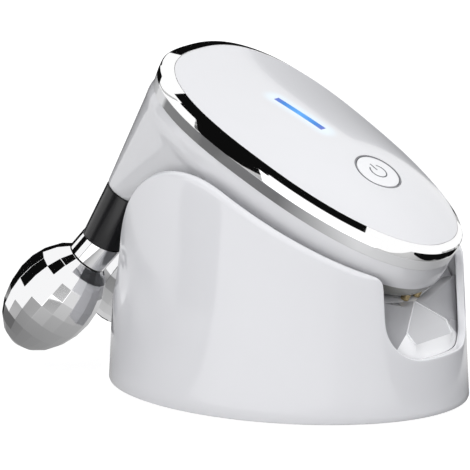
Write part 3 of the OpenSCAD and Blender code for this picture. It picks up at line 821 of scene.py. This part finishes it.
cores = [loose(hull_bowl("bowl_core", HULL_WALL)),
         loose(face_loft("seat_core", [face_oval(-FIT - HULL_WALL, z=z) for z in (-RING_HEIGHT - HULL_WALL - 1, 1)]))]
for side, s in SIDES.items():
    end = neck_end(s)
    foot, top = (from_face(tuple(end @ Vector((0, 0, z)))) for z in NECK_BORE)
    cores += [rod(f"bore_{side}", foot, top, NECK_RADIUS - HULL_WALL),
              loose(neck_solid(f"neck_core_{side}", s, NECK_WALL))]
cut_away(housing, *cores)
shown(housing, "handset", housing_white, "lower_housing", slot="housing_white", sharp=40)
coated("seal_gasket", finish("seal_rubber", (0.35, 0.35, 0.36), 0.6))

# ---- Bezel ring: one band of zinc, polished and chromed, clamped between the cover
# and the housing: a bevel, an upright band, and below it a turned-in foot. The
# foot's colour is a painted reflection: a non-metal grey, dark along the middle and
# lighter towards the tail and the head, in place of what the chrome would mirror.
RING_WIDTH = 2.9
RING_FLARE = 2.0
RING_BEVEL = 1.6
RING_BAND = 5.1
RING_PROFILE = ((0.02, 0, -RING_HEIGHT), (0.02, 0, -0.1), (0.05, 0, -0.02), (0.15, 0, 0),
                (RING_WIDTH - 0.35, RING_FLARE, -RING_BEVEL + 0.1), (RING_WIDTH, RING_FLARE, -RING_BEVEL - 0.35),
                (RING_WIDTH, RING_FLARE, -RING_BAND + 0.25), (RING_WIDTH - 0.05, RING_FLARE, -RING_BAND - 0.25),
                (RING_WIDTH - 0.4, RING_FLARE, -RING_HEIGHT + 0.2), (RING_WIDTH - 0.6, RING_FLARE, -RING_HEIGHT))
FOOT_PAINTED_DARK = (0.18, 0.18, 0.185, 1)
FOOT_PAINTED_LIGHT = (0.78, 0.78, 0.79, 1)
FOOT_PAINTED_REFLECTION = ((-48, FOOT_PAINTED_LIGHT), (-46, FOOT_PAINTED_DARK), (12, FOOT_PAINTED_DARK), (44, FOOT_PAINTED_LIGHT))

chrome, ring_chrome = (finish(name, (0.93, 0.93, 0.94), 0.03, drift=0.015, tone=0.02, bump=0.01, metallic=1.0)
                       for name in ("chrome", "ring_chrome"))
# Below the band the ring is made non-metal and given a grey ramp along its length: a painted reflection, dark in the
# middle and light towards the tail and head, standing in for the chrome's mirror image.
n = ring_chrome.node_tree.nodes
axes = face_axes(n, (FACE_X, 0, FACE_Z))
painted_light_tones = ramp_of(n, ranged(n, axes["X"], -FACE_HEAD * MM, FACE_TAIL * MM), FOOT_PAINTED_LIGHT, FOOT_PAINTED_LIGHT,
                *(((x + FACE_HEAD) / (FACE_HEAD + FACE_TAIL), tone) for x, tone in FOOT_PAINTED_REFLECTION))
above_foot = maths(n, "GREATER_THAN", axes["Z"], -(RING_BAND + 0.1) * MM)
put(the_node(n, "GROUP"), {"Colour": maths(n, "MAXIMUM", above_foot, painted_light_tones)})
put(the_node(n, "BSDF_PRINCIPLED"), {"Metallic": above_foot})
ring_rows = [face_oval(grow, grow + flare, grow, z) for grow, flare, z in RING_PROFILE]
ring = loose(face_loft("chrome_ring_skin", ring_rows + ring_rows[:1], close_ends=False))
shown(ring, "handset", ring_chrome, "chrome_ring", slot="chrome", sharp=11)

# ---- Top cover: a domed lid of white ABS, high-gloss, with its crown towards the
# tail. It has the openings for the button and the light bar, and four bosses
# inside for the housing screws.
DOME_HEIGHT = 6.0
DOME_SKEW = 0.66
COVER_SEAM = 0.1
COVER_WALL = 1.8
RIM_BELOW_SEAM = 3.0
BUTTON_X = 25.2
BUTTON_RADIUS = 8.4
BAR_X = -12.9
BAR_LENGTH = 22.4
BAR_WIDTH = 3.0
BOSS_RADIUS = 2.6
BOSS_FOOT = -4.4
BOSSES = [(x, s * 17) for x in (-38, 40) for s in (1, -1)]
COVER_COLOUR = (0.77, 0.77, 0.785)
GLOW_COLOUR = (0.25, 0.75, 1.0, 1)
GLOW_REACH = 7.0
GLOW_START = 0.5
GLOW_STRENGTH = 0.35
BUTTON_GAP = 0.9
CUT_THROUGH = (-10, 20)


def dome_z(share, x):
    return DOME_HEIGHT * (1 - share ** 2) * (1 + DOME_SKEW * x / FACE_TAIL)


def dome_solid(name, grow, lower, floor_z, rings=30):
    rows = [face_oval(grow, z=floor_z)]
    for share in 1 - 0.985 * np.linspace(0, 1, rings) ** 0.9:
        row = face_oval(grow, shrink=share)
        row[:, 2] = dome_z(share, row[:, 0]) - lower
        rows.append(row)
    return face_loft(name, rows)


def dome_top(x, y):
    """Height of the dome over a place on the face."""
    x, y = np.asarray(x, float), np.asarray(y, float)
    power = np.where(x > 0, ROUND_TAIL, ROUND_HEAD)
    half = (FACE_HALF_WIDTH - COVER_SEAM) * (1 - FACE_EGG * x / FACE_TAIL)
    share = (np.abs(x / (FACE_TAIL - COVER_SEAM)) ** power + np.abs(y / half) ** power) ** (1 / power)
    return dome_z(share, x)


def face_rod(name, x, y, low, high, radius, around=64):
    foot, top = from_face([(x, y, low), (x, y, high)])
    return rod(name, foot, top, radius, around)


cover = loose(dome_solid("top_cover_skin", -COVER_SEAM, 0, -RIM_BELOW_SEAM))
cut_away(cover, loose(dome_solid("cover_core", -COVER_WALL, COVER_WALL, -RIM_BELOW_SEAM - 1)),
         face_rod("button_cutter", BUTTON_X, 0, *CUT_THROUGH, BUTTON_RADIUS + BUTTON_GAP, 96),
         face_box("bar_cutter", *((BAR_X + s * BAR_LENGTH / 2, s * BAR_WIDTH / 2, z)
                                  for s, z in zip((-1, 1), CUT_THROUGH))))
cut_away(cover, *(face_rod(f"boss_{k}", x, y, BOSS_FOOT, float(dome_top(x, y)) - COVER_WALL / 2, BOSS_RADIUS, 32)
                  for k, (x, y) in enumerate(BOSSES)), how="UNION")

cover_white = finish("cover_white", COVER_COLOUR, 0.14, coat=0.3)
# The blue glow on the cover round the light bar is painted light: an emission in the cover's own surface, fading out
# from the bar's edge, for the bar's light falling on the dome.
bar_centre = face_frame @ Vector((BAR_X, 0, DOME_HEIGHT - 1))
n = cover_white.node_tree.nodes
axes = face_axes(n, bar_centre)
past_the_end = maths(n, "SUBTRACT", maths(n, "ABSOLUTE", axes["X"]), BAR_LENGTH / 2 * MM)
flat = add(n, "ShaderNodeCombineXYZ", {"X": maths(n, "MAXIMUM", past_the_end, 0), "Y": axes["Y"]})
far = add(n, "ShaderNodeVectorMath", {0: flat.outputs[0]}, operation="LENGTH")
fade = ranged(n, far.outputs["Value"], MM, GLOW_REACH * MM, GLOW_START, 0.0, interpolation_type="SMOOTHERSTEP")
painted_glow = ramp_of(n, fade, (0, 0, 0, 1), GLOW_COLOUR)
put(the_node(n, "BSDF_PRINCIPLED"), {"Emission Color": painted_glow, "Emission Strength": GLOW_STRENGTH})
shown(cover, "handset", cover_white, "top_cover", slot="cover_white", sharp=30)

# ---- Power button: a white cap flush with the dome in a thin metal trim ring, with
# the generic power sign printed on it. It presses 0.6 mm onto the switch.
BUTTON_FOOT = 2.2
STEM_FOOT = -1.1
STEM_TOP = 2.6
STEM_RADIUS = 2.0
TRIM_OUTER = BUTTON_RADIUS + 0.8
TRIM_INNER = BUTTON_RADIUS + 0.25
SIGN_RADIUS = 3.3
SIGN_LINE = 0.5
SIGN_GAP = math.radians(34)
SIGN_LIFT = 0.04
SIGN_DEPTH = 0.05


def dome_disc(name, radius, base_z, inner=0.0, edge=0.25, around=96):
    """A round solid whose top follows the dome, its upper edge rounded."""
    t = full_turn(around)
    radii = [(radius, None), (radius, -edge), (radius - edge * 0.3, -edge * 0.3), (radius - edge, 0.0)]
    if inner:
        radii += [(inner + edge, 0.0), (inner + edge * 0.3, -edge * 0.3), (inner, -edge), (inner, None)]
    else:
        radii += [(r, 0.0) for r in np.linspace(radius - edge, 0.4, 10)[1:]]
    rows = []
    for r, lift in radii:
        x, y = BUTTON_X + r * np.cos(t), r * np.sin(t)
        z = np.full(around, float(base_z)) if lift is None else dome_top(x, y) + lift
        rows.append(np.stack([x, y, z], 1))
    return face_loft(name, rows + rows[:1] if inner else rows, close_ends=not inner)


button_white = finish("button_white", (0.86, 0.86, 0.87), 0.16)
button_trim = finish("button_trim", (0.30, 0.30, 0.32), 0.22, metallic=1.0)
sign_grey = finish("sign_grey", (0.10, 0.105, 0.115), 0.45)
button = loose(dome_disc("button_cap_skin", BUTTON_RADIUS, BUTTON_FOOT))
cut_away(button, face_rod("button_stem", BUTTON_X, 0, STEM_FOOT, STEM_TOP, STEM_RADIUS, 32), how="UNION")
shown(button, "button", button_white, "button_cap", slot="button_white")
trim = loose(dome_disc("button_ring_skin", TRIM_OUTER, 0.0, TRIM_INNER, edge=0.12))
shown(trim, "handset", button_trim, "button_ring", slot="button_trim")


def printed(name, outline):
    """A hair-thick printed shape on the dome, from rows of points across its line."""
    z = dome_top(outline[..., 0], outline[..., 1])
    return slab(name, from_face(np.dstack([outline, z + SIGN_LIFT])), from_face(np.dstack([outline, z - SIGN_DEPTH])))


turn = np.linspace(math.pi + SIGN_GAP, 3 * math.pi - SIGN_GAP, 72)
arc = np.stack([np.stack([BUTTON_X + r * np.cos(turn), r * np.sin(turn)], 1)
                for r in np.linspace(SIGN_RADIUS - SIGN_LINE / 2, SIGN_RADIUS + SIGN_LINE / 2, 3)])
stroke_x = np.linspace(BUTTON_X - SIGN_RADIUS - 0.9, BUTTON_X - 0.6, 12)
stroke = np.stack([np.stack([stroke_x, np.full(12, y)], 1) for y in (-SIGN_LINE / 2, 0, SIGN_LINE / 2)])
for name, outline in (("sign_arc", arc), ("sign_stroke", stroke)):
    shown(loose(printed(name, outline)), "button", sign_grey, slot="button_trim")

# ---- Light bar: a clear acrylic light pipe flush with the dome, lit from below by
# three blue chips. Its ends run to violet.
BAR_VIOLET = (0.16, 0.18, 0.62, 1)
BAR_BLUE = (0.05, 0.26, 0.75, 1)
BAR_BRIGHT = (0.12, 0.45, 1.0, 1)
BAR_UNLIT = (0.01, 0.03, 0.08, 1)
BAR_STRENGTH = 0.9
BAR_GAP = 0.1
BAR_FOOT = -3.3

gx, gy = np.meshgrid(np.linspace(BAR_X - BAR_LENGTH / 2 + BAR_GAP, BAR_X + BAR_LENGTH / 2 - BAR_GAP, 40),
                     np.linspace(-BAR_WIDTH / 2 + BAR_GAP, BAR_WIDTH / 2 - BAR_GAP, 9))
light_bar = loose(slab("light_bar_skin", from_face(np.dstack([gx, gy, dome_top(gx, gy)])),
                       from_face(np.dstack([gx, gy, np.full_like(gx, BAR_FOOT)]))))
light_blue = bpy.data.materials.new("light_blue")
n = blank_nodes(light_blue)
span = ranged(n, face_axes(n, bar_centre)["X"], -BAR_LENGTH / 2 * MM, BAR_LENGTH / 2 * MM)
blues = ramp_of(n, span, BAR_VIOLET, BAR_VIOLET, (0.16, BAR_BLUE), (0.5, BAR_BRIGHT), (0.84, BAR_BLUE))
put_out(n, add(n, "ShaderNodeBsdfPrincipled", {
    "Base Color": BAR_UNLIT, "Roughness": 0.35, "Specular IOR Level": 0.15, "Emission Color": blues,
    "Emission Strength": BAR_STRENGTH}))
shown(light_bar, "handset", light_blue, "light_bar", slot="light_blue")

# ---- Inside the handset: the switch, the light chips, the circuit board on its
# frame, the battery on a foam pad, the screws and the gold charge contacts.
switch_black = finish("switch_black", (0.02, 0.02, 0.02), 0.45)
chip_ceramic = finish("chip_ceramic", (0.80, 0.78, 0.66), 0.5)
frame_plastic = finish("frame_plastic", (0.55, 0.55, 0.56), 0.5)
battery_wrap = finish("battery_wrap", (0.45, 0.46, 0.48), 0.3)
foam = finish("foam", (0.05, 0.05, 0.05), 0.95, grain=2400, bump=0.5)
for node, material in (("tact_switch", switch_black), ("led_chips", chip_ceramic), ("main_pcb", board_green),
                       ("inner_frame", frame_plastic), ("battery", battery_wrap), ("battery_pad", foam),
                       ("housing_screws", screw_steel), ("charge_contacts", contact_gold)):
    coated(node, material)

# ---- Collars and sleeves: a dark satin collar on each neck, plugged into the
# housing, and below it a short polished sleeve that the roller's mouth meets.
COLLAR_LENGTH = 21.4
COLLAR_NARROWING = 0.5
PLUG_RADIUS = 5.75
PLUG_BORE = 4.6
PLUG_LENGTH = 7
COLLAR_FLOOR = 14
EDGE = 0.3
AXLE_BORE = 2.6
SLEEVE_ROOT = 2.2
SLEEVE_LENGTH = 9.0
MOUTH_RADIUS = 7.7
ROLLER_SPLAY = math.radians(11.1)
ROLLER_LEAN = math.radians(10.1)


def in_metres(frame_mm):
    return Matrix.Translation(frame_mm.translation * MM) @ frame_mm.to_3x3().to_4x4()


def lathe(name, profile, placed, around=96):
    """Turns a closed profile of (radius, height) pairs round its axis and sets it in place."""
    t = full_turn(around)
    rows = [np.stack([r * np.cos(t), r * np.sin(t), np.full(around, float(z))], 1) for r, z in profile]
    mesh = skin(name, [np.stack(rows + rows[:1])])
    mesh.transform(in_metres(placed))
    return loose(mesh)


collar_black = finish("collar_black", (0.010, 0.010, 0.011), 0.20, drift=0.08)
roller_frames = {}
for side, s in SIDES.items():
    collar_frame = face_frame @ neck_end(s)
    foot_frame = collar_frame @ Matrix.Translation((0, 0, -COLLAR_LENGTH))
    collar_foot = Vector((-NECK_X, s * (NECK_Y + COLLAR_LENGTH * math.sin(COLLAR_SPLAY)),
                          -NECK_END - COLLAR_LENGTH * math.cos(COLLAR_SPLAY)))
    roller_frame = face_frame @ Matrix.Translation(collar_foot) @ Matrix.Rotation(s * ROLLER_SPLAY, 4, "X") \
        @ Matrix.Rotation(ROLLER_LEAN, 4, "Y") @ Matrix.Rotation(math.pi, 4, "X")
    roller_frames[side] = roller_frame
    narrow = NECK_RADIUS - COLLAR_NARROWING
    collar = lathe(f"collar_{side}_skin", [
        (AXLE_BORE, -COLLAR_LENGTH), (narrow - EDGE, -COLLAR_LENGTH), (narrow, -COLLAR_LENGTH + EDGE),
        (NECK_RADIUS - 0.02, -0.35), (NECK_RADIUS - EDGE, 0), (PLUG_RADIUS, 0), (PLUG_RADIUS, PLUG_LENGTH),
        (PLUG_BORE, PLUG_LENGTH), (PLUG_BORE, -COLLAR_LENGTH + COLLAR_FLOOR),
        (AXLE_BORE, -COLLAR_LENGTH + COLLAR_FLOOR)], collar_frame)
    shown(collar, "handset", collar_black, f"collar_{side}", slot="collar_black")
    sleeve = lathe(f"neck_sleeve_{side}_skin", [
        (AXLE_BORE, -SLEEVE_ROOT), (MOUTH_RADIUS, -SLEEVE_ROOT), (MOUTH_RADIUS, SLEEVE_LENGTH - EDGE),
        (MOUTH_RADIUS - EDGE, SLEEVE_LENGTH), (AXLE_BORE, SLEEVE_LENGTH)], roller_frame)
    above = bpy.data.meshes.new("above_collar_foot")
    above.from_pydata([(x * MM, y * MM, z * MM) for x in (-20, 20) for y in (-20, 20) for z in (0, 20)], [],
                      BOX_FACES)
    above.transform(in_metres(foot_frame))
    cut_away(sleeve, loose(above))
    shown(sleeve, "handset", chrome, f"neck_sleeve_{side}", slot="chrome")
    coated(f"roller_axle_{side}", screw_steel)
    coated(f"axle_terminal_{side}", contact_gold)
    coated(f"axle_clip_{side}", screw_steel)

# ---- Rollers: egg-shaped heads of zinc, cut with rows of flat facets and chromed.
# Each spins on its axle on two bronze bushes held in a black hub.
BALL_RADIUS = 16.3
BALL_TIP = 24.0
BALL_BACK = 19.2
FACETS = 20
FACET_ROWS = 10
LAST_ROW_ANGLE = math.radians(78)
TIP_RADIUS = 1.0
HUB_RADIUS = 6.4
HUB_END = 43.6
FACET_EDGE = 0.12
FLAT_ANGLE = math.radians(5)
MOUTH_GAP = 0.4
HUB_GAP = 0.1

mouth_z = SLEEVE_LENGTH + MOUTH_GAP
wide_z = mouth_z + BALL_BACK
back_semi = BALL_BACK / math.sqrt(1 - (MOUTH_RADIUS / BALL_RADIUS) ** 2)
mouth_angle = -math.asin(BALL_BACK / back_semi)

facet_tree = bpy.data.node_groups.new("facet_rows", "GeometryNodeTree")
for kind, names in (("Int", ("Facets", "Rows")),
                    ("Float", ("Widest Radius", "Widest Place", "Back Length", "Tip Length", "Tip Radius",
                               "Mouth Angle", "Last Angle")), ("Material", ("Material",))):
    for name in names:
        facet_tree.interface.new_socket(name=name, in_out="INPUT", socket_type="NodeSocket" + kind)
facet_tree.interface.new_socket(name="Geometry", in_out="OUTPUT", socket_type="NodeSocketGeometry")
facet_nodes = facet_tree.nodes


def value(operation, *terms):
    """A Math node in the facets' tree, fed with sockets or plain numbers."""
    return maths(facet_nodes, operation, *terms)


def between(a, b, share):
    return value("MULTIPLY_ADD", value("SUBTRACT", b, a), share, a)


asked = facet_nodes.new("NodeGroupInput").outputs
drum = add(facet_nodes, "GeometryNodeMeshCylinder", {"Vertices": asked["Facets"], "Side Segments": asked["Rows"],
                                                     "Radius": 1, "Depth": 1}, fill_type="NGON")
at = add(facet_nodes, "ShaderNodeSeparateXYZ", {0: facet_nodes.new("GeometryNodeInputPosition").outputs[0]}).outputs
row = value("ROUND", value("MULTIPLY", value("ADD", at["Z"], 0.5), asked["Rows"]))
row_step = value("DIVIDE", value("SUBTRACT", asked["Last Angle"], asked["Mouth Angle"]),
                 value("SUBTRACT", asked["Rows"], 1))
row_angle = value("MULTIPLY_ADD", row, row_step, asked["Mouth Angle"])
at_tip = value("GREATER_THAN", row, value("SUBTRACT", asked["Rows"], 0.5))
semi = between(asked["Back Length"], asked["Tip Length"], value("GREATER_THAN", row_angle, 0))
ring_radius = between(value("MULTIPLY", asked["Widest Radius"], value("COSINE", row_angle)),
                      asked["Tip Radius"], at_tip)
ring_place = between(value("MULTIPLY_ADD", semi, value("SINE", row_angle), asked["Widest Place"]),
                     value("ADD", asked["Widest Place"], asked["Tip Length"]), at_tip)
spot = add(facet_nodes, "ShaderNodeCombineXYZ", {
    "X": value("MULTIPLY", at["X"], ring_radius), "Y": value("MULTIPLY", at["Y"], ring_radius), "Z": ring_place})
shaped = add(facet_nodes, "GeometryNodeSetPosition", {"Geometry": drum.outputs["Mesh"], "Position": spot.outputs[0]})
real = add(facet_nodes, "GeometryNodeRealizeInstances", {0: shaped.outputs[0]})
plated = add(facet_nodes, "GeometryNodeSetMaterial", {"Geometry": real.outputs[0], "Material": asked["Material"]})
add(facet_nodes, "NodeGroupOutput", {0: plated.outputs[0]})


def grown(name, tree, values):
    """The plain piece that a node tree makes with these values."""
    piece = loose(bpy.data.meshes.new(name))
    maker = piece.modifiers.new("maker", "NODES")
    maker.node_group = tree
    for item in tree.interface.items_tree:
        if item.item_type == "SOCKET" and item.in_out == "INPUT":
            maker[item.identifier] = values[item.name]
    return baked(piece)


roller_chrome = finish("roller_chrome", (0.92, 0.92, 0.93), 0.04, drift=0.02, tone=0.02, bump=0.01, metallic=1.0)
hub_plastic = finish("hub_plastic", (0.03, 0.03, 0.032), 0.4)
bush_bronze = finish("bush_bronze", (0.62, 0.40, 0.20), 0.35, metallic=1.0)
for side, roller_frame in roller_frames.items():
    roller = grown(f"roller_ball_{side}_skin", facet_tree, {
        "Facets": FACETS, "Rows": FACET_ROWS, "Widest Radius": BALL_RADIUS * MM, "Widest Place": wide_z * MM,
        "Back Length": back_semi * MM, "Tip Length": BALL_TIP * MM, "Tip Radius": TIP_RADIUS * MM,
        "Mouth Angle": mouth_angle, "Last Angle": LAST_ROW_ANGLE, "Material": roller_chrome})
    roller.data.transform(in_metres(roller_frame))
    bore_foot, bore_end = (roller_frame @ Vector((0, 0, z)) for z in (mouth_z - 1, HUB_END + HUB_GAP))
    cut_away(roller, rod("hub_bore", bore_foot, bore_end, HUB_RADIUS + HUB_GAP))
    with_traits(roller.modifiers.new("soften", "BEVEL"), width=FACET_EDGE * MM, segments=2, limit_method="ANGLE",
                angle_limit=FLAT_ANGLE)
    baked(roller)
    shown(roller, f"roller_{side}", roller_chrome, f"roller_ball_{side}", slot="chrome", sharp=3)
    coated(f"roller_hub_{side}", hub_plastic)
    coated(f"roller_bushes_{side}", bush_bronze)
